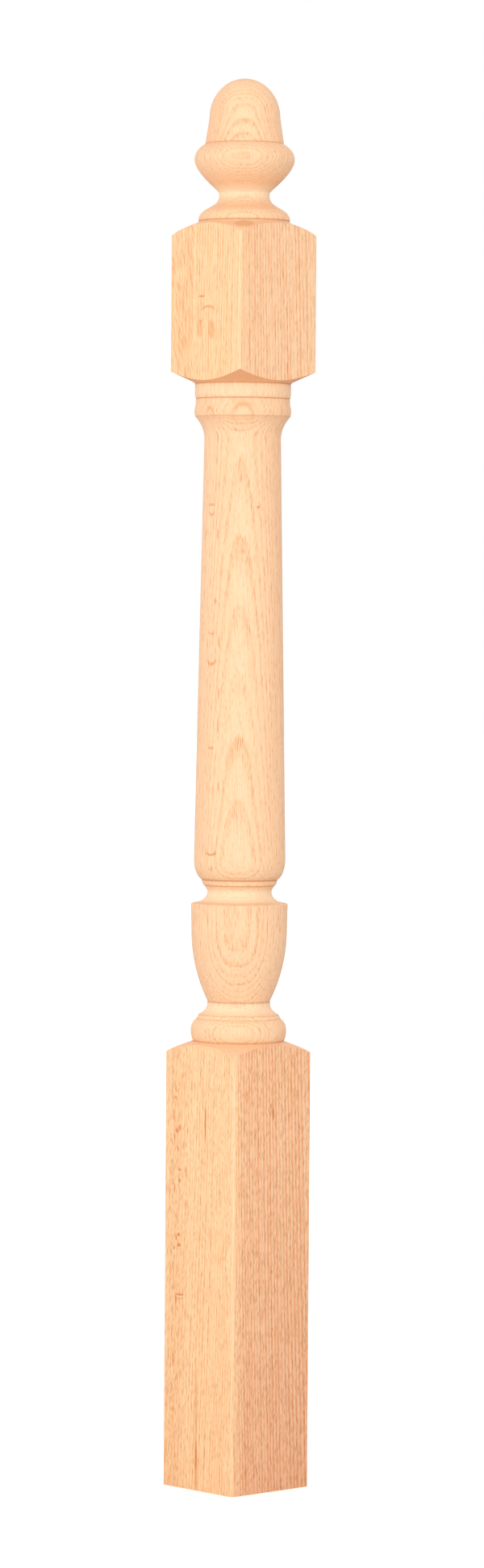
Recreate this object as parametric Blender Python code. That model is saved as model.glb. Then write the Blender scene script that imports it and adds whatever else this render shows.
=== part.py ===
# Turned newel post for a stair: one length of square oak stock, turned between two blocks
# that are left square, with an acorn at the top. Units are metres, +Z is up, the origin is the
# middle of the sawn foot, and the square faces look along X and Y.
#
# A lathe leaves the wood where both the turned outline and the square stock reach, so the post
# is built that way too: the outline is spun about Z, wide open over the two blocks, and what it
# has in common with the square stock is kept. The arched edges of the blocks come from that cut.

import math

import bmesh
import bpy

# Stock
POST_HEIGHT = 1.2192
STOCK_WIDTH = 0.0889
ARRIS_EASE = 0.0008  # rounding of the four long edges

# Acorn
NUT_CAP_HEIGHT = 0.0334
NUT_CAP_RADIUS = 0.0305
NUT_SIDE_HEIGHT = 0.0230
NUT_SEAM_RADIUS = 0.0340
CUP_RADIUS = 0.0433
CUP_RIM_HEIGHT = 0.0133
CUP_RIM_TURN = 0.0054  # fall of the rim before it turns upright
CUP_BODY_HEIGHT = 0.0253
CUP_BODY_TURN = 0.0090  # upright stretch before the body runs in to its foot
CUP_FOOT_RADIUS = 0.0250
CUP_FOOT_HEIGHT = 0.0042
CUP_FOOT_TURN = 0.0028
NECK_RADIUS = 0.0218
NECK_HEIGHT = 0.0016
BEAD_RADIUS = 0.0396
BEAD_OGEE_HEIGHT = 0.0214
BEAD_QUIRK_DEPTH = 0.0006
BEAD_QUIRK_HEIGHT = 0.0027

# Upper block with its two turned shoulders
UPPER_BLOCK_HEIGHT = 0.1164  # between the corners of a face
TOP_SHOULDER_RADIUS = 0.0414
TOP_SHOULDER_FALL = 0.0110
TOP_SHOULDER_CROWN = 0.0046  # how far inside the corner the slope eases off
TOP_SHOULDER_CROWN_FALL = 0.0060
UNDER_SHOULDER_RADIUS = 0.0434
UNDER_SHOULDER_FALL = 0.0089

# Collar of two bands with a groove between them, and the hollow below it
COLLAR_RADIUS = 0.04155
COLLAR_CREASE_RADIUS = 0.0412
COLLAR_CREASE_HEIGHT = 0.0016
COLLAR_TOP_ROUND = 0.0006
COLLAR_BAND_HEIGHT = 0.0080
COLLAR_TAPER_HEIGHT = 0.0036
GROOVE_LIP_RADIUS = 0.0411
GROOVE_DEPTH = 0.0007
GROOVE_HEIGHT = 0.0016
SWELL_WAIST_RADIUS = 0.0408
SWELL_RADIUS = 0.0419
SWELL_WAIST_HEIGHT = 0.0018
SWELL_HEIGHT = 0.0090
SWELL_EDGE_RADIUS = 0.0412
SWELL_EDGE_HEIGHT = 0.0036
HOLLOW_HEIGHT = 0.0194
HOLLOW_TURN = 0.0090

# Long tapered shaft; its height is what the other members leave
SHAFT_TOP_RADIUS = 0.0331
SHAFT_FOOT_RADIUS = 0.03965
SHAFT_FOOT_HEIGHT = 0.0176
SHAFT_FOOT_TURN = 0.0122
SHAFT_END_RADIUS = 0.0338

# Small fillet and cove over the vase
FILLET_QUIRK_RADIUS = 0.0325
FILLET_TOP_RADIUS = 0.0329
FILLET_END_RADIUS = 0.0317
FILLET_QUIRK_HEIGHT = 0.0004
FILLET_HEIGHT = 0.0040
COVE_TOP_RADIUS = 0.0310
COVE_RADIUS = 0.02785
COVE_TOP_HEIGHT = 0.0060
COVE_TOP_TURN = 0.0036
COVE_FLARE_HEIGHT = 0.0083
COVE_FLARE_TURN = 0.0046
LEDGE_START_RADIUS = 0.0338

# Vase
LIP_RADIUS = 0.04195
LIP_ROUND = 0.0007
LEDGE_FALL = 0.0016
VASE_SIDE_HEIGHT = 0.0216
VASE_RADIUS = 0.04145
VASE_BOWL_HEIGHT = 0.0628
VASE_BOWL_TURN = 0.0336
VASE_END_RADIUS = 0.0269

# Ring, flare, fillet and torus over the lower block
RING_RADIUS = 0.02735
RING_QUIRK_HEIGHT = 0.0004
RING_HEIGHT = 0.0022
FLARE_RADIUS = 0.0342
FLARE_HEIGHT = 0.0088
FLARE_TURN = 0.0042
STEP_RADIUS = 0.0347
STEP_END_RADIUS = 0.0364
STEP_HEIGHT = 0.0034
TORUS_START_RADIUS = 0.0382
TORUS_RADIUS = 0.04143
TORUS_END_RADIUS = 0.0397
TORUS_GAP_HEIGHT = 0.0016
TORUS_TOP_HEIGHT = 0.0089
TORUS_TOP_TURN = 0.0030
TORUS_UNDER_HEIGHT = 0.0081
TORUS_UNDER_TURN = 0.0052
TORUS_QUIRK_DEPTH = 0.0003
TORUS_QUIRK_HEIGHT = 0.0014

# Lower block; its height runs from the sawn foot to the corners of a face
LOWER_BLOCK_HEIGHT = 0.3779
LOWER_SHOULDER_RADIUS = 0.0404
LOWER_SHOULDER_FALL = 0.0095
LOWER_SHOULDER_CROWN = 0.0029
LOWER_SHOULDER_CROWN_FALL = 0.0071

# Fineness of the faceted solid
SIDES = 40
ARC_STEPS = 4
LONG_ARC_STEPS = 8
ARRIS_STEPS = 2
OGEE_REACH = 0.54  # share of an ogee's fall that each end's upright tangent reaches
SWING_CLEARANCE = 0.006  # how far the open outline swings clear of the stock
CRISP_ANGLE = 28  # degrees between faces over which an edge is drawn sharp

# Pale unfinished red oak
OAK_COLOUR = (0.76, 0.50, 0.29, 1.0)
OAK_ROUGHNESS = 0.62


def stock_corner_radius():
    return STOCK_WIDTH / math.sqrt(2)


class Outline:
    """Half outline of a turned stretch, drawn downwards from its own top as (radius, height)."""

    def __init__(self, radius):
        self.points = [(radius, 0.0)]

    def line(self, radius, fall=0.0):
        self.points.append((radius, self.points[-1][1] - fall))

    def dome(self, radius, fall, steps):
        """Quarter ellipse that starts level and ends upright."""
        start_radius, start_height = self.points[-1]
        for step in range(1, steps + 1):
            turn = 0.5 * math.pi * step / steps
            self.points.append(
                (
                    start_radius + (radius - start_radius) * math.sin(turn),
                    start_height - fall * (1 - math.cos(turn)),
                )
            )

    def bend(self, radius, fall, corner_radius, corner_fall, steps):
        """Curve that leaves towards a corner point and arrives in line with it."""
        start_radius, start_height = self.points[-1]
        for step in range(1, steps + 1):
            share = step / steps
            first, middle, last = (1 - share) ** 2, 2 * share * (1 - share), share**2
            self.points.append(
                (
                    first * start_radius + middle * corner_radius + last * radius,
                    start_height - middle * corner_fall - last * fall,
                )
            )

    def ogee(self, radius, fall, steps):
        """S curve that starts and ends upright."""
        start_radius, start_height = self.points[-1]
        for step in range(1, steps + 1):
            share = step / steps
            near_start = 3 * share * (1 - share) ** 2
            near_end = 3 * share**2 * (1 - share)
            last = share**3
            self.points.append(
                (
                    start_radius + (near_end + last) * (radius - start_radius),
                    start_height - fall * (near_start * OGEE_REACH + near_end * (1 - OGEE_REACH) + last),
                )
            )

    def height(self):
        return -self.points[-1][1]


def acorn():
    outline = Outline(0.0)
    outline.dome(NUT_CAP_RADIUS, NUT_CAP_HEIGHT, LONG_ARC_STEPS)
    outline.line(NUT_SEAM_RADIUS, NUT_SIDE_HEIGHT)
    outline.bend(CUP_RADIUS, CUP_RIM_HEIGHT, CUP_RADIUS, CUP_RIM_TURN, ARC_STEPS)
    outline.bend(CUP_FOOT_RADIUS, CUP_BODY_HEIGHT, CUP_RADIUS, CUP_BODY_TURN, LONG_ARC_STEPS)
    outline.bend(NECK_RADIUS, CUP_FOOT_HEIGHT, NECK_RADIUS, CUP_FOOT_TURN, ARC_STEPS // 2)
    outline.line(NECK_RADIUS, NECK_HEIGHT)
    outline.ogee(BEAD_RADIUS, BEAD_OGEE_HEIGHT, LONG_ARC_STEPS)
    outline.line(BEAD_RADIUS - BEAD_QUIRK_DEPTH, BEAD_QUIRK_HEIGHT / 3)
    outline.line(TOP_SHOULDER_RADIUS, BEAD_QUIRK_HEIGHT * 2 / 3)
    return outline


def block_shoulder(radius, fall, crown, crown_fall):
    """Slope from a turned member out to the corners of a square block."""
    corner = stock_corner_radius()
    outline = Outline(radius)
    outline.bend(corner, fall, corner - crown, crown_fall, ARC_STEPS)
    return outline


def open_block(height):
    """Over a square block the outline stands clear of the stock and cuts nothing."""
    corner = stock_corner_radius()
    outline = Outline(corner)
    outline.line(corner + SWING_CLEARANCE)
    outline.line(corner + SWING_CLEARANCE, height)
    outline.line(corner)
    return outline


def under_shoulder():
    outline = Outline(stock_corner_radius())
    outline.line(UNDER_SHOULDER_RADIUS, UNDER_SHOULDER_FALL)
    outline.line(COLLAR_CREASE_RADIUS, COLLAR_CREASE_HEIGHT)
    return outline


def collar():
    outline = Outline(COLLAR_CREASE_RADIUS)
    outline.line(COLLAR_RADIUS, COLLAR_TOP_ROUND)
    outline.line(COLLAR_RADIUS, COLLAR_BAND_HEIGHT)
    outline.line(GROOVE_LIP_RADIUS, COLLAR_TAPER_HEIGHT)
    outline.line(GROOVE_LIP_RADIUS - GROOVE_DEPTH, GROOVE_HEIGHT / 2)
    outline.line(SWELL_WAIST_RADIUS, GROOVE_HEIGHT / 2)
    outline.line(SWELL_WAIST_RADIUS, SWELL_WAIST_HEIGHT)
    outline.ogee(SWELL_RADIUS, SWELL_HEIGHT, ARC_STEPS)
    outline.line(SWELL_EDGE_RADIUS, SWELL_EDGE_HEIGHT)
    outline.bend(SHAFT_TOP_RADIUS, HOLLOW_HEIGHT, SHAFT_TOP_RADIUS, HOLLOW_TURN, LONG_ARC_STEPS)
    return outline


def shaft(height):
    outline = Outline(SHAFT_TOP_RADIUS)
    outline.line(SHAFT_FOOT_RADIUS, height)
    return outline


def shaft_foot():
    outline = Outline(SHAFT_FOOT_RADIUS)
    outline.bend(SHAFT_END_RADIUS, SHAFT_FOOT_HEIGHT, SHAFT_FOOT_RADIUS, SHAFT_FOOT_TURN, ARC_STEPS + 1)
    outline.line(FILLET_QUIRK_RADIUS, FILLET_QUIRK_HEIGHT)
    outline.line(FILLET_TOP_RADIUS, FILLET_QUIRK_HEIGHT)
    outline.line(FILLET_END_RADIUS, FILLET_HEIGHT)
    outline.line(COVE_TOP_RADIUS, FILLET_QUIRK_HEIGHT)
    outline.bend(COVE_RADIUS, COVE_TOP_HEIGHT, COVE_RADIUS, COVE_TOP_TURN, ARC_STEPS)
    outline.bend(LEDGE_START_RADIUS, COVE_FLARE_HEIGHT, COVE_RADIUS, COVE_FLARE_TURN, ARC_STEPS)
    return outline


def vase():
    outline = Outline(LEDGE_START_RADIUS)
    outline.line(LIP_RADIUS - LIP_ROUND, LEDGE_FALL)
    outline.line(LIP_RADIUS, LIP_ROUND)
    outline.line(VASE_RADIUS, VASE_SIDE_HEIGHT)
    outline.bend(VASE_END_RADIUS, VASE_BOWL_HEIGHT, VASE_RADIUS, VASE_BOWL_TURN, LONG_ARC_STEPS)
    return outline


def ring_to_torus():
    outline = Outline(VASE_END_RADIUS)
    outline.line(RING_RADIUS, RING_QUIRK_HEIGHT)
    outline.line(RING_RADIUS, RING_HEIGHT)
    outline.bend(FLARE_RADIUS, FLARE_HEIGHT, RING_RADIUS, FLARE_TURN, ARC_STEPS)
    outline.line(STEP_RADIUS)
    outline.line(STEP_END_RADIUS, STEP_HEIGHT)
    outline.line(TORUS_START_RADIUS, TORUS_GAP_HEIGHT)
    outline.bend(TORUS_RADIUS, TORUS_TOP_HEIGHT, TORUS_RADIUS, TORUS_TOP_TURN, ARC_STEPS)
    outline.bend(TORUS_END_RADIUS, TORUS_UNDER_HEIGHT, TORUS_RADIUS, TORUS_UNDER_TURN, ARC_STEPS)
    outline.line(TORUS_END_RADIUS - TORUS_QUIRK_DEPTH, TORUS_QUIRK_HEIGHT / 2)
    outline.line(LOWER_SHOULDER_RADIUS, TORUS_QUIRK_HEIGHT / 2)
    return outline


def stacked(members, top):
    """One run of (radius, height) points, each member hung below the one before it."""
    start_radius, _ = members[0].points[0]
    run = [(start_radius, top)]
    height = top
    for member in members:
        run += [(radius, height + rise) for radius, rise in member.points[1:]]
        height -= member.height()
    return run


def post_outline():
    """Outline of the whole post, from the tip of the acorn to just below the sawn foot."""
    above = [
        acorn(),
        block_shoulder(TOP_SHOULDER_RADIUS, TOP_SHOULDER_FALL, TOP_SHOULDER_CROWN, TOP_SHOULDER_CROWN_FALL),
        open_block(UPPER_BLOCK_HEIGHT),
        under_shoulder(),
        collar(),
    ]
    below = [
        shaft_foot(),
        vase(),
        ring_to_torus(),
        block_shoulder(
            LOWER_SHOULDER_RADIUS, LOWER_SHOULDER_FALL, LOWER_SHOULDER_CROWN, LOWER_SHOULDER_CROWN_FALL
        ),
    ]
    taken = LOWER_BLOCK_HEIGHT + sum(member.height() for member in above + below)
    run = stacked([*above, shaft(POST_HEIGHT - taken), *below], POST_HEIGHT)
    swing = stock_corner_radius() + SWING_CLEARANCE
    return [*run, (swing, LOWER_BLOCK_HEIGHT), (swing, -SWING_CLEARANCE), (0.0, -SWING_CLEARANCE)]


def add_object(name, mesh):
    item = bpy.data.objects.new(name, mesh)
    bpy.context.scene.collection.objects.link(item)
    return item


def square_stock():
    """Square stock with eased edges, sawn flat at the foot and left long at the top."""
    length = POST_HEIGHT + SWING_CLEARANCE
    shape = bmesh.new()
    bmesh.ops.create_cube(shape, size=1.0)
    bmesh.ops.scale(shape, vec=(STOCK_WIDTH, STOCK_WIDTH, length), verts=shape.verts)
    bmesh.ops.translate(shape, vec=(0.0, 0.0, length / 2), verts=shape.verts)
    upright = [edge for edge in shape.edges if abs(edge.verts[0].co.z - edge.verts[1].co.z) > length / 2]
    bmesh.ops.bevel(
        shape, geom=upright, offset=ARRIS_EASE, segments=ARRIS_STEPS, profile=0.5, affect="EDGES"
    )
    mesh = bpy.data.meshes.new("square_stock")
    shape.to_mesh(mesh)
    shape.free()
    stock = add_object("square_stock", mesh)
    stock.hide_render = True
    stock.display_type = "WIRE"
    return stock


def turned_outline_mesh():
    points = [(radius, 0.0, height) for radius, height in post_outline()]
    mesh = bpy.data.meshes.new("newel_post")
    mesh.from_pydata(points, [(index, index + 1) for index in range(len(points) - 1)], [])
    return mesh


def spin_about_z(item):
    screw = item.modifiers.new("spin", "SCREW")
    screw.axis = "Z"
    screw.angle = 2 * math.pi
    screw.screw_offset = 0.0
    screw.steps = SIDES
    screw.render_steps = SIDES
    screw.use_merge_vertices = True
    screw.merge_threshold = 0.00001
    screw.use_smooth_shade = True


def keep_shared_wood(item, stock):
    cut = item.modifiers.new("square_to_stock", "BOOLEAN")
    cut.operation = "INTERSECT"
    cut.solver = "EXACT"
    cut.object = stock


def oak():
    material = bpy.data.materials.new("oak")
    material.use_nodes = True
    shader = material.node_tree.nodes["Principled BSDF"]
    shader.inputs["Base Color"].default_value = OAK_COLOUR
    shader.inputs["Roughness"].default_value = OAK_ROUGHNESS
    shader.inputs["Metallic"].default_value = 0.0
    material.diffuse_color = OAK_COLOUR
    return material


def make_solid(item):
    bpy.context.view_layer.objects.active = item
    item.select_set(True)
    bpy.ops.object.convert(target="MESH")


def shade_turned(item):
    """Turned surfaces shade smooth, and arrises over the crisp angle stay sharp."""
    item.data.shade_smooth()
    item.data.set_sharp_from_angle(angle=math.radians(CRISP_ANGLE))


def newel_post():
    post = add_object("newel_post", turned_outline_mesh())
    stock = square_stock()
    spin_about_z(post)
    keep_shared_wood(post, stock)
    make_solid(post)
    bpy.data.objects.remove(stock)
    shade_turned(post)
    post.data.materials.clear()
    post.data.materials.append(oak())
    return post


def main():
    for item in list(bpy.data.objects):
        bpy.data.objects.remove(item)
    newel_post()


main()
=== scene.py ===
import math

import bpy
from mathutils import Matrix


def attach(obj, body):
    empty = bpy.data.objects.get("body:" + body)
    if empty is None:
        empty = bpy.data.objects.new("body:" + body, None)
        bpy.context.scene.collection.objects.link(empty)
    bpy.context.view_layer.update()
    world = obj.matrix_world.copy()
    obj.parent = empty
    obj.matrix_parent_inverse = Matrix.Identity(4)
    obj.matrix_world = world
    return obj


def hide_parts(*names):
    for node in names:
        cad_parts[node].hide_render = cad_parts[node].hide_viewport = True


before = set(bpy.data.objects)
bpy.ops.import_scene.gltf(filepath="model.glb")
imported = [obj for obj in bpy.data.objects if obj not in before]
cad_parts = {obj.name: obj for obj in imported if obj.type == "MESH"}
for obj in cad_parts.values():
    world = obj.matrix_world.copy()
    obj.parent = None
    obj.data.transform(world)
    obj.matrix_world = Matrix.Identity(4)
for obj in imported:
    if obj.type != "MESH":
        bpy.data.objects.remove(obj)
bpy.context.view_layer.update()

# A turned oak newel, drawn as a wood turner would: one half outline from the tip of the acorn
# down to the sawn foot, spun round, then squared to the stock it was turned from.
# Heights and radii are in millimetres until the outline is spun.

mm = 0.001

stock = {
    "height": 1219.2,
    "width": 88.9,
    "arrisEase": 0.8,
    "arrisSteps": 3,
    "sides": 160,
    "clearance": 6.0,      # how far the outline swings clear of the stock over a square block
    "weld": 0.02,          # points closer than this become one
    "crispAngle": 26,      # degrees over which an edge is drawn sharp
    "underShade": 0.35,    # how much more end-grain darkening is added where a cut faces down, as painted shade under it
}
halfWidth = stock["width"] / 2
cornerRadius = stock["width"] / math.sqrt(2)

creaseShadeAndBurnishLines = []               # (radius, height, reach, strength) of each dark line round the post: painted shade in its groove, with some burnish and dust


# each of these draws the outline on from its last point, inwards or outwards and down

def lineTo(cut, radius, fall=0.0, steps=1):
    startRadius, startHeight = cut[-1]
    for step in range(1, steps + 1):
        share = step / steps
        cut.append((startRadius + (radius - startRadius) * share, startHeight - fall * share))


def domeTo(cut, radius, fall, steps):      # starts level, ends upright
    startRadius, startHeight = cut[-1]
    for step in range(1, steps + 1):
        turn = 0.5 * math.pi * step / steps
        cut.append((startRadius + (radius - startRadius) * math.sin(turn),
                    startHeight - fall * (1 - math.cos(turn))))


def bendTo(cut, radius, fall, turnRadius, turnFall, steps):      # leaves towards the turn, arrives from it
    startRadius, startHeight = cut[-1]
    for step in range(1, steps + 1):
        share = step / steps
        first, middle, last = (1 - share) ** 2, 2 * share * (1 - share), share ** 2
        cut.append((first * startRadius + middle * turnRadius + last * radius,
                    startHeight - middle * turnFall - last * fall))


def ogeeTo(cut, radius, fall, reach, steps):      # upright at both ends
    startRadius, startHeight = cut[-1]
    for step in range(1, steps + 1):
        share = step / steps
        nearStart = 3 * share * (1 - share) ** 2
        nearEnd = 3 * share ** 2 * (1 - share)
        last = share ** 3
        cut.append((startRadius + (nearEnd + last) * (radius - startRadius),
                    startHeight - fall * (nearStart * reach + nearEnd * (1 - reach) + last)))


# a dark line at the outline's last point: painted shade in the groove, with some burnish and dust
def crease(cut, reach, strength):
    creaseShadeAndBurnishLines.append((*cut[-1], reach, strength))


# the turned members follow from the top down, each with its sizes

acorn = {
    "capRadius": 30.5, "capHeight": 33.4,
    "seamRadius": 34.0, "sideHeight": 23.0,
    "cupRadius": 43.3, "rimHeight": 13.3, "rimTurn": 5.4,
    "bodyHeight": 25.3, "bodyTurn": 9.0,
    "footRadius": 25.0, "footHeight": 4.2, "footTurn": 2.8,
    "neckRadius": 21.8, "neckHeight": 1.6,
    "beadRadius": 39.6, "ogeeHeight": 21.4, "ogeeReach": 0.54,
    "quirkDepth": 0.6, "quirkHeight": 2.7,
}


def cutAcorn(cut, shoulderRadius):
    domeTo(cut, acorn["capRadius"], acorn["capHeight"], steps=32)
    lineTo(cut, acorn["seamRadius"], acorn["sideHeight"], steps=8)
    crease(cut, reach=1.5, strength=0.9)
    bendTo(cut, acorn["cupRadius"], acorn["rimHeight"], acorn["cupRadius"], acorn["rimTurn"], steps=16)
    bendTo(cut, acorn["footRadius"], acorn["bodyHeight"], acorn["cupRadius"], acorn["bodyTurn"], steps=24)
    bendTo(cut, acorn["neckRadius"], acorn["footHeight"], acorn["neckRadius"], acorn["footTurn"], steps=8)
    lineTo(cut, acorn["neckRadius"], acorn["neckHeight"])
    ogeeTo(cut, acorn["beadRadius"], acorn["ogeeHeight"], acorn["ogeeReach"], steps=28)
    lineTo(cut, acorn["beadRadius"] - acorn["quirkDepth"], acorn["quirkHeight"] / 3)
    crease(cut, reach=1.6, strength=0.9)
    lineTo(cut, shoulderRadius, acorn["quirkHeight"] * 2 / 3)


upperBlock = {
    "height": 116.4,       # between the corners of a face
    "topRadius": 41.4, "topFall": 11.0, "crown": 4.6, "crownFall": 6.0,
    "underRadius": 43.4, "underFall": 8.9,
}
lowerBlock = {
    "height": 377.9,       # from the sawn foot to the corners of a face
    "topRadius": 40.4, "topFall": 9.5, "crown": 2.9, "crownFall": 7.1,
}


def cutShoulder(cut, block):
    bendTo(cut, cornerRadius, block["topFall"], cornerRadius - block["crown"], block["crownFall"], steps=14)


def swingClear(cut, fall):
    lineTo(cut, cornerRadius + stock["clearance"])
    lineTo(cut, cornerRadius + stock["clearance"], fall)


collar = {
    "radius": 41.55, "topRound": 0.6, "bandHeight": 8.0, "taperHeight": 3.6,
    "creaseRadius": 41.2, "creaseHeight": 1.6,
    "lipRadius": 41.1, "grooveDepth": 0.7, "grooveHeight": 1.6,
    "waistRadius": 40.8, "waistHeight": 1.8,
    "swellRadius": 41.9, "swellHeight": 9.0, "swellReach": 0.54,
    "edgeRadius": 41.2, "edgeHeight": 3.6,
    "hollowHeight": 19.4, "hollowTurn": 9.0,
}


def cutCollar(cut, shaftRadius):
    lineTo(cut, collar["creaseRadius"], collar["creaseHeight"])
    crease(cut, reach=1.8, strength=1.0)
    lineTo(cut, collar["radius"], collar["topRound"])
    lineTo(cut, collar["radius"], collar["bandHeight"], steps=2)
    lineTo(cut, collar["lipRadius"], collar["taperHeight"])
    lineTo(cut, collar["lipRadius"] - collar["grooveDepth"], collar["grooveHeight"] / 2)
    crease(cut, reach=1.5, strength=0.9)
    lineTo(cut, collar["waistRadius"], collar["grooveHeight"] / 2)
    lineTo(cut, collar["waistRadius"], collar["waistHeight"])
    ogeeTo(cut, collar["swellRadius"], collar["swellHeight"], collar["swellReach"], steps=12)
    lineTo(cut, collar["edgeRadius"], collar["edgeHeight"], steps=2)
    crease(cut, reach=1.1, strength=0.55)
    bendTo(cut, shaftRadius, collar["hollowHeight"], shaftRadius, collar["hollowTurn"], steps=26)


shaft = {
    "topRadius": 33.1, "footRadius": 39.65, "steps": 26,
    "roundHeight": 17.6, "roundTurn": 12.2, "endRadius": 33.8,
    "quirkRadius": 32.5, "quirkHeight": 0.4,
    "filletTopRadius": 32.9, "filletEndRadius": 31.7, "filletHeight": 4.0,
    "coveTopRadius": 31.0, "coveRadius": 27.85, "coveHeight": 6.0, "coveTurn": 3.6,
    "flareHeight": 8.3, "flareTurn": 4.6, "ledgeRadius": 33.8,
}


def cutShaftFoot(cut):
    bendTo(cut, shaft["endRadius"], shaft["roundHeight"], shaft["footRadius"], shaft["roundTurn"], steps=16)
    lineTo(cut, shaft["quirkRadius"], shaft["quirkHeight"])
    crease(cut, reach=1.7, strength=1.0)
    lineTo(cut, shaft["filletTopRadius"], shaft["quirkHeight"])
    lineTo(cut, shaft["filletEndRadius"], shaft["filletHeight"], steps=2)
    lineTo(cut, shaft["coveTopRadius"], shaft["quirkHeight"])
    crease(cut, reach=1.4, strength=0.8)
    bendTo(cut, shaft["coveRadius"], shaft["coveHeight"], shaft["coveRadius"], shaft["coveTurn"], steps=12)
    bendTo(cut, shaft["ledgeRadius"], shaft["flareHeight"], shaft["coveRadius"], shaft["flareTurn"], steps=14)


vase = {
    "lipRadius": 41.95, "lipRound": 0.7, "ledgeFall": 1.6,
    "sideRadius": 41.45, "sideHeight": 21.6,
    "endRadius": 26.9, "bowlHeight": 62.8, "bowlTurn": 33.6,
}


def cutVase(cut):
    lineTo(cut, vase["lipRadius"] - vase["lipRound"], vase["ledgeFall"], steps=2)
    lineTo(cut, vase["lipRadius"], vase["lipRound"])
    lineTo(cut, vase["sideRadius"], vase["sideHeight"], steps=4)
    bendTo(cut, vase["endRadius"], vase["bowlHeight"], vase["sideRadius"], vase["bowlTurn"], steps=40)
    crease(cut, reach=1.7, strength=0.9)


torus = {
    "ringRadius": 27.35, "ringQuirk": 0.4, "ringHeight": 2.2,
    "flareRadius": 34.2, "flareHeight": 8.8, "flareTurn": 4.2,
    "stepRadius": 34.7, "stepEndRadius": 36.4, "stepHeight": 3.4,
    "startRadius": 38.2, "radius": 41.43, "endRadius": 39.7, "gapHeight": 1.6,
    "topHeight": 8.9, "topTurn": 3.0, "underHeight": 8.1, "underTurn": 5.2,
    "quirkDepth": 0.3, "quirkHeight": 1.4,
}


def cutTorus(cut, shoulderRadius):
    lineTo(cut, torus["ringRadius"], torus["ringQuirk"])
    lineTo(cut, torus["ringRadius"], torus["ringHeight"])
    bendTo(cut, torus["flareRadius"], torus["flareHeight"], torus["ringRadius"], torus["flareTurn"], steps=14)
    crease(cut, reach=1.2, strength=0.7)
    lineTo(cut, torus["stepRadius"])
    lineTo(cut, torus["stepEndRadius"], torus["stepHeight"], steps=2)
    crease(cut, reach=1.3, strength=0.7)
    lineTo(cut, torus["startRadius"], torus["gapHeight"])
    bendTo(cut, torus["radius"], torus["topHeight"], torus["radius"], torus["topTurn"], steps=14)
    bendTo(cut, torus["endRadius"], torus["underHeight"], torus["radius"], torus["underTurn"], steps=14)
    lineTo(cut, torus["endRadius"] - torus["quirkDepth"], torus["quirkHeight"] / 2)
    crease(cut, reach=1.8, strength=1.0)
    lineTo(cut, shoulderRadius, torus["quirkHeight"] / 2)


def cutBelowShaft(cut):
    cutShaftFoot(cut)
    cutVase(cut)
    cutTorus(cut, lowerBlock["topRadius"])
    cutShoulder(cut, lowerBlock)


def wholeOutline():
    trial = [(shaft["footRadius"], 0.0)]
    cutBelowShaft(trial)
    shaftFoot = lowerBlock["height"] - trial[-1][1]      # the shaft takes what the other members leave
    creaseShadeAndBurnishLines.clear()
    cut = [(0.0, stock["height"])]
    cutAcorn(cut, upperBlock["topRadius"])
    cutShoulder(cut, upperBlock)
    swingClear(cut, upperBlock["height"])
    lineTo(cut, cornerRadius)
    lineTo(cut, upperBlock["underRadius"], upperBlock["underFall"], steps=10)
    cutCollar(cut, shaft["topRadius"])
    lineTo(cut, shaft["footRadius"], cut[-1][1] - shaftFoot, shaft["steps"])
    cutBelowShaft(cut)
    swingClear(cut, lowerBlock["height"] + stock["clearance"])
    lineTo(cut, 0.0)
    return cut


# the outline is spun, then squared to the stock

def turnPost(cut):
    bpy.ops.mesh.primitive_plane_add(size=mm, location=(0, 0, cut[0][1] * mm))
    post = bpy.context.object
    post.name = post.data.name = "oakNewel"
    bpy.ops.object.transform_apply(location=True, rotation=True, scale=True)
    bpy.ops.object.mode_set(mode="EDIT")
    bpy.ops.mesh.select_mode(type="VERT")
    bpy.ops.mesh.select_all(action="SELECT")
    bpy.ops.mesh.merge(type="CENTER")
    for (radius, height), (nextRadius, nextHeight) in zip(cut, cut[1:]):
        step = ((nextRadius - radius) * mm, 0, (nextHeight - height) * mm)
        bpy.ops.mesh.extrude_region_move(TRANSFORM_OT_translate={"value": step})
    bpy.ops.mesh.select_all(action="SELECT")
    bpy.ops.mesh.spin(steps=stock["sides"], angle=2 * math.pi, center=(0, 0, 0), axis=(0, 0, 1))
    bpy.ops.mesh.select_all(action="SELECT")
    bpy.ops.mesh.remove_doubles(threshold=stock["weld"] * mm)
    bpy.ops.mesh.normals_make_consistent(inside=False)
    bpy.ops.object.mode_set(mode="OBJECT")
    return post


def squareStock():
    tall = (stock["height"] + stock["clearance"]) * mm
    wide = stock["width"] * mm
    bpy.ops.object.select_all(action="DESELECT")
    bpy.ops.mesh.primitive_cube_add(size=1, location=(0, 0, tall / 2), scale=(wide, wide, tall))
    blank = bpy.context.object
    blank.name = "squareStock"
    bpy.ops.object.transform_apply(location=True, rotation=True, scale=True)
    bpy.ops.object.mode_set(mode="EDIT")
    bpy.ops.mesh.select_mode(type="EDGE")
    bpy.ops.mesh.select_all(action="DESELECT")
    bpy.ops.object.mode_set(mode="OBJECT")
    for edge in blank.data.edges:
        a, b = (blank.data.vertices[i].co for i in edge.vertices)
        edge.select = abs(a.z - b.z) > tall / 2
    bpy.ops.object.mode_set(mode="EDIT")
    bpy.ops.mesh.bevel(offset=stock["arrisEase"] * mm, segments=stock["arrisSteps"], profile=0.5)
    bpy.ops.object.mode_set(mode="OBJECT")
    return blank


def squareTo(post, blank):      # what the outline and the stock share is the wood that is left
    saw = post.modifiers.new("squareToStock", "BOOLEAN")
    saw.operation = "INTERSECT"
    saw.solver = "EXACT"
    saw.object = blank
    bpy.ops.object.select_all(action="DESELECT")
    post.select_set(True)
    bpy.context.view_layer.objects.active = post
    bpy.ops.object.modifier_apply(modifier=saw.name)
    bpy.data.objects.remove(blank)
    bpy.ops.object.shade_smooth_by_angle(angle=math.radians(stock["crispAngle"]))


# 0 where a cut runs along the grain, 1 where it runs across, and more where it faces down, which is painted
# shade under the cut

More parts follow.
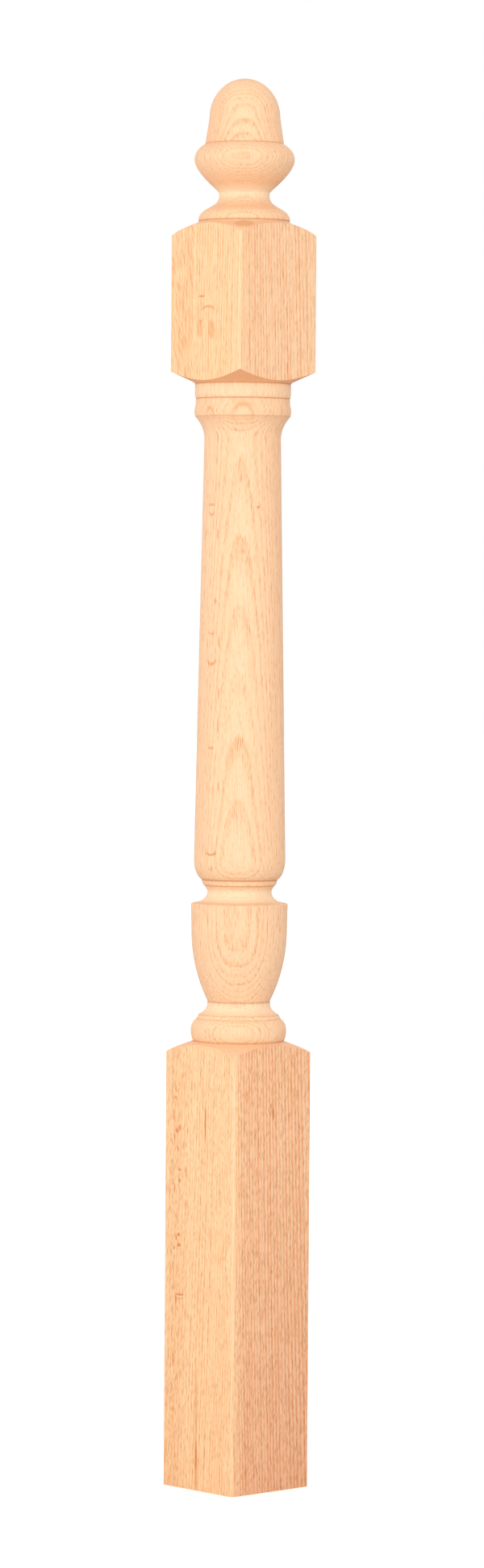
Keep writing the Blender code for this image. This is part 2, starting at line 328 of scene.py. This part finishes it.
def markEndGrainAndUnderShade(post):
    mesh = post.data
    acrossGrainAndUnderShade = mesh.attributes.new("endGrainAndUnderShade", "FLOAT", "CORNER")
    tilts = [normal.vector.z for normal in mesh.corner_normals]
    shares = [abs(tilt) + stock["underShade"] * max(0.0, -tilt) for tilt in tilts]
    acrossGrainAndUnderShade.data.foreach_set("value", shares)


# the finish is pale bare red oak, with painted light and painted shade in its colour

class Wire:      # a shader socket that can be reckoned with
    def __init__(self, tree, socket=None):
        self.tree, self.socket = tree, socket

    def node(self, kind, settings, values, output=0):
        made = self.tree.nodes.new("ShaderNode" + kind)
        for name, value in settings.items():
            setattr(made, name, value)
        for name, value in values.items():
            if isinstance(value, Wire):
                self.tree.links.new(value.socket, made.inputs[name])
            else:
                made.inputs[name].default_value = value
        return Wire(self.tree, made.outputs[output])

    def math(self, operation, *values):
        return self.node("Math", {"operation": operation}, dict(enumerate(values)))

    def vector(self, operation, *values, output=0):
        return self.node("VectorMath", {"operation": operation}, dict(enumerate(values)), output)

    def root(self):
        return self.math("SQRT", self)

    def size(self):
        return self.math("ABSOLUTE", self)

    def axis(self, number):
        return self.node("SeparateXYZ", {}, {"Vector": self}, number)

    def feed(self, shader, name):
        self.tree.links.new(self.socket, shader.inputs[name])

    def __add__(self, other):
        return self.math("ADD", self, other)

    def __sub__(self, other):
        return self.math("SUBTRACT", self, other)

    def __rsub__(self, other):
        return self.math("SUBTRACT", other, self)

    def __mul__(self, other):
        return self.math("MULTIPLY", self, other)

    def __truediv__(self, other):
        return self.math("DIVIDE", self, other)

    def __rtruediv__(self, other):
        return self.math("DIVIDE", other, self)

    __radd__, __rmul__ = __add__, __mul__


def rise(value, low, high):      # 0 below low, 1 above high, eased between
    return value.node("MapRange", {"interpolation_type": "SMOOTHSTEP"},
                      {"Value": value, "From Min": low, "From Max": high, "To Min": 0.0, "To Max": 1.0})


def fade(value, low, high):      # 1 below low, 0 above high
    return 1 - rise(value, low, high)


def tint(colour, amount, shade, blend="MIX"):      # the node's colours are inputs 6 and 7 and output 2
    return amount.node("Mix", {"data_type": "RGBA", "blend_type": blend},
                       {"Factor": amount, 6: colour, 7: (*shade, 1.0)}, 2)


def paintShading(colour, amount, shade):      # colour multiplied by a shade: used for the painted shade and painted light on the sides of the post
    return tint(colour, amount, shade, "MULTIPLY")


pattern = {
    "noiseSwing": 2.6,     # brings the noise to about -1 to 1
    "dashCore": 0.4,       # share of a dash's reach that is fully dark
    "lotEdge": 0.3,        # a cell's dash grows to full strength over this much of its lot
}


def drawnOut(place, sizes, seed):      # a place with its axes counted in sizes of a pattern
    scale = tuple(1 / size for size in sizes)
    return place.node("Mapping", {}, {"Vector": place, "Location": (seed, seed, seed), "Scale": scale})


def streaks(place, across, along, detail, seed):      # noise drawn out along the grain
    drawn = drawnOut(place, (across, across, along), seed)
    noise = place.node("TexNoise", {}, {"Vector": drawn, "Scale": 1.0, "Detail": detail, "Roughness": 0.5})
    return (noise - 0.5) * pattern["noiseSwing"]


def dashes(place, sizes, seed, share, soft, space="3D"):      # a share of the cells each hold one dash
    drawn = drawnOut(place, sizes, seed)
    kind = {"voronoi_dimensions": space}
    near, cell = (place.node("TexVoronoi", kind, {"Vector": drawn, "Scale": 1.0}, out) for out in range(2))
    lot = place.node("SeparateColor", {}, {"Color": cell})
    held = rise(lot, 1 - share, 1 - share + pattern["lotEdge"])
    return fade(near, soft * pattern["dashCore"], soft) * held


oak = {
    "pale": (0.85, 0.575, 0.350),
    "earlywood": (0.80, 0.38, 0.18),
    "pore": (0.55, 0.25, 0.10),
    "ray": (0.66, 0.32, 0.15),
    "endGrainAndUnderShade": (0.79, 0.36, 0.16),
    "crease": (0.50, 0.20, 0.08),
    "mineral": (0.60, 0.21, 0.055),
    "sideShade": (0.98, 0.90, 0.88),
    "acornLeftShade": (0.98, 0.90, 0.88),
    "rightFaceShade": (0.92, 0.80, 0.78),
    "leftFaceLight": (1.0, 0.98, 0.90),
    "arrisHighlight": (0.87, 0.66, 0.42),
    "bandLight": (0.86, 0.69, 0.47),
    "ringPitch": 2.1,
    "ringShift": 0.9,
    "pithDistance": 190.0,      # behind the post, so that the rings face the near corner
    "lean": 0.0164,             # the rings lean this much against the post's length
    "blunt": 0.85, "bluntWidth": 7.0,
    "bluntLoss": 0.5,           # the arches are this much less blunt on the shaft
    "sway": 1.3, "ripple": 0.20,
    "ringStart": (0.0, 0.12),   # shares of a ring over which its dark early wood comes
    "ringEnd": (0.20, 0.62),    # and goes
    "ringLeast": 0.35, "ringLot": 0.9,
    "board": -15.0,             # past this place along X the grain is a narrower board's
    "boardSoft": 0.3,
    "glueLine": 1.2,            # how far a pale line lies from that board
    "markEdge": (0.65, 1.10), "bowEdge": (0.60, 0.95),      # shares of a mark's half size
    "bandCore": 0.3,            # share of a painted-light band's reach that is fully pale
    "roughness": 0.56, "gloss": 0.35,
    "bump": 0.45, "bumpDepth": 0.0003,
}

# where each change in the finish starts and ends, in millimetres: heights, then places across the
# front and along X, then distances, and for end grain with its painted shade under down-facing cuts the tilt
# of the cut
edges = {
    "footward": (0.0, 330.0), "lowEnd": (380.0, 430.0), "topEnd": (880.0, 940.0),
    "shaftFoot": (540.0, 600.0), "shaftTop": (880.0, 920.0), "acorn": (1150.0, 1165.0),
    "rightSide": (-3.0, 12.0), "acornLeft": (-22.0, -6.0), "arrisRight": (0.5, 1.5),
    "blobStart": (-38.0, -35.0), "blobEnd": (-27.0, -23.0),
    "planed": (halfWidth - 0.75, halfWidth - 0.15),
    "eitherSide": (10.0, 34.0), "arris": (60.4, 61.4), "glueLine": (0.4, 1.4),
    "endGrainAndUnderShade": (0.70, 1.30),
}

streakSizes = {      # across and along the grain, detail and seed
    "sway": (70.0, 420.0, 0.0, 3.1),
    "ripple": (9.0, 45.0, 1.0, 7.7),
    "broad": (22.0, 420.0, 1.0, 1.3),
    "fibre": (1.4, 55.0, 1.0, 5.9),
    "fine": (0.7, 18.0, 1.0, 8.3),
}
dashSizes = {      # size on each axis, seed, share and softness
    "longPores": ((1.3, 1.3, 14.0), 2.7, 0.70, 0.50),
    "shortPores": ((0.9, 0.9, 6.5), 6.1, 0.80, 0.52),
    "rays": ((22.0, 1.2, 9.0), 4.4, 0.35, 0.40),
}

# how strong each layer is: everywhere, and how much is added in each kind of place
depths = {
    # the leftFoot share darkens the left face towards its foot as painted shade
    "groundAndFootShade": {"everywhere": 0.10, "board": 0.20, "lowBoard": -0.10, "glueLine": -0.25, "leftFoot": 0.16},
    "early": {"everywhere": 0.322, "leftFace": 0.161, "rightFace": 0.322, "lowRight": 0.69, "board": -0.23},
    "fibre": {"everywhere": 0.16, "leftFace": 0.10, "rightFace": 0.26},
    "fine": {"everywhere": 0.26, "planed": 0.44},
    "broad": {"everywhere": 0.12},
    "longPores": {"everywhere": 0.15, "early": 0.40, "rightFace": 0.16, "lowRight": 0.14},
    "shortPores": {"everywhere": 0.26, "early": 0.36, "topEnd": -0.10, "planed": 0.12, "lowPlaned": 0.12,
                   "lowRight": 0.22},
    "rays": {"everywhere": 0.25},
    # painted shade on the sides of the turned parts, the acorn's left and the right face, darker towards the
    # foot, and painted light on the left face
    "sideShade": {"turned": 0.10, "turnedSide": 0.35},
    "acornLeftShade": {"acornLeft": 0.7},
    "rightFaceShade": {"rightFace": 0.12, "lowRight": 0.38, "rightFoot": 0.50},
    "leftFaceLight": {"leftFace": 1.0},
    "arris": {"arris": 0.34},
    "roughness": {"everywhere": oak["roughness"], "longPores": 0.12, "early": 0.08, "fibre": 0.04},
    "height": {"fibre": 0.3, "fine": 0.3, "longPores": -0.2, "earlyPores": -0.8, "shortPores": -0.35},
}
endGrainAndUnderShadeDepth, creaseShadeAndBurnishDepth = 0.85, 0.5

# strokes and blobs in the narrower board: where, slant in degrees, width, length, seed, share,
# softness and strength
boardFlecks = [
    ("upperEnd", 20.0, 1.8, 16.0, 5.2, 0.60, 0.50, 0.45),
    ("lowEnd", -20.0, 1.8, 9.0, 5.2, 0.40, 0.50, 0.40),
    ("blobs", -20.0, 2.2, 6.0, 3.3, 0.35, 0.45, 0.45),
]

# small flecks in the turned wood and the right face: middle, half width, half height, how much of
# it is a bow, and strength
turnedMarks = [
    ((-1.6, -34.1, 851.6), 5.0, 1.5, 0.0, 0.5), ((-1.4, -34.2, 845.2), 4.2, 3.6, 0.50, 0.5),
    ((-8.8, -33.4, 827.7), 1.1, 3.4, 0.0, 0.5), ((6.3, -34.0, 826.2), 1.2, 5.0, 0.0, 0.5),
    ((5.1, -35.2, 768.6), 1.8, 2.6, 0.0, 0.5), ((1.2, -36.0, 742.2), 4.4, 3.0, 0.50, 0.45),
    ((-12.4, -34.0, 737.3), 1.1, 3.6, 0.0, 0.5), ((9.4, -35.0, 734.0), 1.1, 5.5, 0.0, 0.5),
    ((2.0, -36.5, 717.6), 6.0, 5.0, 0.45, 0.6), ((10.5, -35.5, 689.6), 1.1, 5.2, 0.0, 0.5),
    ((10.3, -36.1, 661.2), 1.1, 7.0, 0.0, 0.5), ((3.1, -37.7, 642.3), 4.0, 1.4, 0.0, 0.5),
    ((12.3, -36.4, 609.1), 1.1, 5.0, 0.0, 0.5), ((5.6, -39.2, 552.4), 6.4, 3.4, 0.45, 0.75),
    ((5.9, -38.4, 538.1), 1.0, 4.2, 0.0, 0.6), ((32.3, -11.0, 849.6), 1.1, 1.3, 0.0, 0.9),
    ((35.8, -32.8, 1091.5), 9.5, 9.0, 0.0, 0.45), ((30.6, -28.0, 929.0), 10.5, 12.5, -0.22, 0.50),
    ((3.1, -41.4, 929.0), 5.0, 8.5, -0.28, 0.50), ((44.4, 0.9, 327.6), 1.2, 6.0, 0.0, 1.0),
]

# and in the left face of the blocks, by the place along X and the height
leftFaceY = -44.4
leftFaceMarks = [
    ((-4.9, 1030.3), 4.2, 1.2, 0.0, 0.7), ((3.4, 1018.8), 9.0, 4.2, -0.4, 0.6),
    ((-5.8, 1011.5), 3.4, 5.0, 0.5, 0.4), ((-6.7, 1002.0), 4.2, 8.6, 0.0, 0.32),
    ((7.8, 1001.6), 5.0, 9.0, 0.0, 0.38), ((7.1, 319.1), 1.1, 17.0, 0.0, 1.0),
    ((-2.0, 30.0), 1.3, 13.0, 0.0, 1.0), ((-2.0, 20.0), 1.8, 28.0, 0.0, 0.55),
    ((-2.5, 62.0), 1.3, 50.0, 0.0, 0.45),
    ((-31.5, 336.0), 3.0, 5.0, -0.40, 0.7), ((-33.5, 324.5), 0.9, 5.5, 0.0, 0.6),
    ((-25.5, 312.5), 1.6, 3.0, 0.0, 0.8), ((-29.0, 310.0), 2.2, 2.6, 0.0, 0.8),
    ((-32.5, 304.5), 1.0, 4.0, 0.0, 0.8), ((-28.0, 294.5), 1.3, 2.6, 0.0, 0.8),
    ((-35.5, 283.0), 0.9, 2.4, 0.0, 0.8), ((-25.5, 276.5), 2.4, 1.4, 0.0, 0.7),
    ((-25.5, 267.0), 2.0, 2.2, 0.0, 0.8), ((-32.0, 260.0), 0.9, 4.5, 0.0, 0.7),
    ((-26.5, 220.0), 2.2, 1.8, 0.0, 0.9), ((-29.5, 217.0), 1.3, 2.6, 0.0, 0.9),
    ((-26.0, 211.0), 2.6, 1.8, 0.0, 0.9), ((-32.0, 208.0), 1.2, 2.0, 0.0, 0.9),
    ((-34.0, 193.0), 0.9, 5.0, 0.0, 0.6), ((-24.5, 168.0), 5.5, 1.0, 0.0, 0.9),
    ((-24.0, 164.5), 5.0, 0.9, 0.0, 0.5), ((-29.5, 164.0), 1.2, 4.5, 0.0, 0.8),
    ((-33.0, 111.0), 1.0, 6.5, 0.0, 0.7), ((-27.0, 96.0), 0.9, 3.5, 0.0, 0.7),
    ((-34.0, 86.0), 0.9, 5.5, 0.0, 0.6),
]

# bands round the post painted paler, as painted light where the coves and neck are lit: height, reach and
# strength
paintedLightBands = [(1121.0, 8.0, 0.45), (950.0, 6.0, 0.22), (515.0, 9.0, 0.50), (417.0, 7.0, 0.40)]


def whereOnPost(start, place):      # a point's coordinates, and how far it is in each kind of place
    u, v, w = (place.axis(number) for number in range(3))      # out to the near corner, across, up
    x, y = (start.axis(number) * (1 / mm) for number in range(2))
    planed = rise(x.math("MAXIMUM", x.size(), y.size()), *edges["planed"])      # the flat faces
    lowEnd = fade(w, *edges["lowEnd"])
    footward = fade(w, *edges["footward"])
    rightFace = rise(v, *edges["rightSide"]) * planed
    leftFace = planed - rightFace
    board = fade(x, oak["board"] - oak["boardSoft"], oak["board"] + oak["boardSoft"]) * planed
    turned = 1 - planed
    return {
        "u": u, "v": v, "w": w, "y": y,
        "planed": planed, "lowPlaned": planed * lowEnd,
        "turned": turned, "turnedSide": turned * rise(v.size(), *edges["eitherSide"]),
        "rightFace": rightFace, "lowRight": rightFace * lowEnd, "rightFoot": rightFace * lowEnd * footward,
        "leftFace": leftFace, "leftFoot": leftFace * footward * lowEnd,
        "lowEnd": lowEnd, "upperEnd": 1 - lowEnd, "topEnd": rise(w, *edges["topEnd"]),
        "acornLeft": rise(w, *edges["acorn"]) * fade(v, *edges["acornLeft"]),
        "arris": rise(u, *edges["arris"]) * fade(v, *edges["arrisRight"]),
        "board": board, "lowBoard": board * lowEnd,
        "blobs": rise(x, *edges["blobStart"]) * fade(x, *edges["blobEnd"]) * lowEnd,
        "glueLine": fade((x - oak["board"] - oak["glueLine"]).size(), *edges["glueLine"]) * planed,
    }


def weigh(here, weights):      # adds up what each kind of place gives
    total = weights.get("everywhere", 0.0)
    for name, weight in weights.items():
        if name != "everywhere":
            total = here[name] * weight + total
    return total


def growthRings(place, here):
    v, w = here["v"], here["w"]
    sway = streaks(place, *streakSizes["sway"]) * oak["sway"]
    sway = sway + streaks(place, *streakSizes["ripple"]) * oak["ripple"]
    reach = here["u"] + oak["pithDistance"]
    square = v * v
    fromPith = (reach * reach + square).root() - oak["pithDistance"]
    onShaft = rise(w, *edges["shaftFoot"]) * fade(w, *edges["shaftTop"])
    blunting = oak["blunt"] - onShaft * oak["bluntLoss"]
    flatFront = square / (square + oak["bluntWidth"] ** 2) * blunting      # blunts the tips of the arches
    return (fromPith + flatFront - w * oak["lean"] + sway + oak["ringShift"]) / oak["ringPitch"]


def addWood(place, here):      # puts the layers of the wood beside the kinds of place
    rings = growthRings(place, here)
    ring = rings.math("FRACT", rings)
    lot = rings.node("TexWhiteNoise", {"noise_dimensions": "1D"}, {"W": rings.math("FLOOR", rings)})
    dark = lot * oak["ringLot"] + oak["ringLeast"]
    here["early"] = rise(ring, *oak["ringStart"]) * fade(ring, *oak["ringEnd"]) * dark
    for name in ("broad", "fibre", "fine"):
        here[name] = streaks(place, *streakSizes[name])
    for name, sizes in dashSizes.items():
        here[name] = dashes(place, *sizes)
    here["earlyPores"] = here["longPores"] * here["early"]


def boardFigure(start, here, colour):
    broadFace = rise(here["y"].size(), *edges["planed"]) * here["board"]
    for where, slant, wide, tall, seed, share, soft, strength in boardFlecks:
        turns = (math.radians(90), 0, math.radians(slant))
        slanted = start.node("Mapping", {}, {"Vector": start, "Rotation": turns, "Scale": (1 / mm,) * 3})
        flecks = dashes(slanted, (wide, tall, 1.0), seed, share, soft, "2D")
        colour = tint(colour, flecks * broadFace * here[where] * strength, oak["mineral"])
    return colour


def mineral(start, colour):
    leftMarks = [((x, leftFaceY, z), *rest) for (x, z), *rest in leftFaceMarks]
    for (x, y, z), wide, tall, bow, strength in turnedMarks + leftMarks:
        away = start.vector("SUBTRACT", start, (x * mm, y * mm, z * mm))
        sized = start.vector("DIVIDE", away, (wide * mm, wide * mm, tall * mm))
        mark = fade(sized.vector("LENGTH", sized, output=1), *oak["markEdge"])
        if bow:
            inner = start.vector("SUBTRACT", sized, (0.0, 0.0, bow))
            mark = mark * rise(inner.vector("LENGTH", inner, output=1), *oak["bowEdge"])
        colour = tint(colour, mark * strength, oak["mineral"])
    return colour


# lightens bands round the post as painted light
def addPaintedLightBands(here, colour):
    for height, reach, strength in paintedLightBands:
        band = fade((here["w"] - height).size(), oak["bandCore"] * reach, reach)
        colour = tint(colour, band * strength, oak["bandLight"])
    return colour


# darkens the wood round each groove: painted shade, with some burnish and dust
def paintCreaseShadeAndBurnish(here, colour):
    u, v, w = here["u"], here["v"], here["w"]
    across = (u * u + v * v).root()
    for radius, height, reach, strength in creaseShadeAndBurnishLines:
        away = (across - radius) * (across - radius) + (w - height) * (w - height)
        colour = tint(colour, fade(away.root(), 0.0, reach) * (strength * creaseShadeAndBurnishDepth), oak["crease"])
    return colour


def oakFinish():
    material = bpy.data.materials.new("paleRedOak")
    material.use_nodes = True
    shader = material.node_tree.nodes["Principled BSDF"]
    start = Wire(material.node_tree).node("TexCoord", {}, {}, "Object")
    turns = (0, 0, math.radians(45))
    place = start.node("Mapping", {}, {"Vector": start, "Rotation": turns, "Scale": (1 / mm,) * 3})
    here = whereOnPost(start, place)
    addWood(place, here)

    dark = weigh(here, depths["groundAndFootShade"])
    for layer in ("early", "fibre", "fine", "broad"):
        dark = here[layer] * weigh(here, depths[layer]) + dark
    colour = tint((*oak["pale"], 1.0), dark, oak["earlywood"])
    for layer, shade in (("longPores", "pore"), ("shortPores", "pore"), ("rays", "ray")):
        colour = tint(colour, here[layer] * weigh(here, depths[layer]), oak[shade])
    # painted shade and painted light, side by side
    for name in ("sideShade", "acornLeftShade", "rightFaceShade", "leftFaceLight"):
        colour = paintShading(colour, weigh(here, depths[name]), oak[name])
    # a painted highlight along the near arris
    colour = tint(colour, weigh(here, depths["arris"]), oak["arrisHighlight"])
    colour = boardFigure(start, here, colour)
    colour = mineral(start, colour)
    acrossGrainAndUnderShade = start.node("Attribute", {"attribute_name": "endGrainAndUnderShade"}, {}, "Fac")
    # darker end grain, and darker still under down-facing cuts as painted shade
    colour = tint(colour, rise(acrossGrainAndUnderShade, *edges["endGrainAndUnderShade"]) * endGrainAndUnderShadeDepth, oak["endGrainAndUnderShade"])
    colour = addPaintedLightBands(here, colour)
    colour = paintCreaseShadeAndBurnish(here, colour)

    colour.feed(shader, "Base Color")
    weigh(here, depths["roughness"]).feed(shader, "Roughness")
    relief = {"Strength": oak["bump"], "Distance": oak["bumpDepth"], "Height": weigh(here, depths["height"])}
    start.node("Bump", {}, relief).feed(shader, "Normal")
    shader.inputs["Specular IOR Level"].default_value = oak["gloss"]
    return material


bpy.ops.object.select_all(action="DESELECT")
outline = wholeOutline()
post = turnPost(outline)
print("outline of", len(outline), "points spun")
squareTo(post, squareStock())
markEndGrainAndUnderShade(post)
print("post squared to its stock:", len(post.data.vertices), "points")
post.data.materials.clear()
post.data.materials.append(oakFinish())
print("oak finish on the post")
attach(post, "root")
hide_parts("newel_post")


view = {
    "distance": 4.6,
    "height": 0.762,
    "azimuth": 47.5,
    "aim": 47.494,
    "pitch": 1.885,
    "roll": 0.41,
    "lens": 121.99,
    "sensor": 36.0,
    "clip": (0.05, 60.0),
}


def addCamera():
    turn = math.radians(view["azimuth"])
    place = (view["distance"] * math.sin(turn), -view["distance"] * math.cos(turn), view["height"])
    tilt = (math.radians(90 - view["pitch"]), math.radians(-view["roll"]), math.radians(view["aim"]))
    bpy.ops.object.camera_add(location=place, rotation=tilt)
    camera = bpy.context.object
    camera.data.lens = view["lens"]
    camera.data.sensor_width = view["sensor"]
    camera.data.sensor_fit = "AUTO"
    camera.data.clip_start, camera.data.clip_end = view["clip"]
    bpy.context.scene.camera = camera


addCamera()


studio = {
    "floorSize": 40.0, "floorColour": (0.62, 0.62, 0.62, 1.0), "floorGlow": 0.45,
    "floorRoughness": 0.9, "floorGloss": 0.1,
    "skyLight": 1.03, "skySeen": 1.0,
    "lights": [      # name, azimuth, height, distance, size, watts
        ("frontLight", 44.0, 1.00, 3.2, 1.3, 46.0),
        ("sideLight", -50.0, 1.10, 2.6, 1.3, 11.0),
        ("backLight", 215.0, 1.90, 2.8, 1.6, 6.0),
    ],
    "aimHeight": 0.72,
}


def layFloor():
    bpy.ops.mesh.primitive_plane_add(size=studio["floorSize"], location=(0, 0, 0))
    floor = bpy.context.object
    floor.name = "floor"
    paint = bpy.data.materials.new("paleFloor")
    paint.use_nodes = True
    shader = paint.node_tree.nodes["Principled BSDF"]
    shader.inputs["Base Color"].default_value = studio["floorColour"]
    shader.inputs["Roughness"].default_value = studio["floorRoughness"]
    shader.inputs["Specular IOR Level"].default_value = studio["floorGloss"]
    seen = Wire(paint.node_tree).node("LightPath", {}, {}, "Is Camera Ray")
    tint((0, 0, 0, 1), seen, (1, 1, 1)).feed(shader, "Emission Color")
    shader.inputs["Emission Strength"].default_value = studio["floorGlow"]
    floor.data.materials.append(paint)


def hangLights():
    for name, azimuth, height, distance, size, watts in studio["lights"]:
        turn = math.radians(azimuth)
        away = math.hypot(distance, height - studio["aimHeight"])
        tilt = math.acos((height - studio["aimHeight"]) / away)
        bpy.ops.object.light_add(type="AREA", rotation=(tilt, 0, turn),
                                 location=(distance * math.sin(turn), -distance * math.cos(turn), height))
        light = bpy.context.object
        light.name = name
        light.data.shape = "SQUARE"
        light.data.size = size
        light.data.energy = watts


def lightSky():
    world = bpy.data.worlds.new("studioWhite")
    bpy.context.scene.world = world
    world.use_nodes = True
    back = world.node_tree.nodes["Background"]
    back.inputs["Color"].default_value = (1, 1, 1, 1)
    seen = Wire(world.node_tree).node("LightPath", {}, {}, "Is Camera Ray")
    strength = seen * (studio["skySeen"] - studio["skyLight"]) + studio["skyLight"]
    strength.feed(back, "Strength")


layFloor()
hangLights()
lightSky()
bpy.context.scene.view_settings.view_transform = "Standard"
print("studio lit")
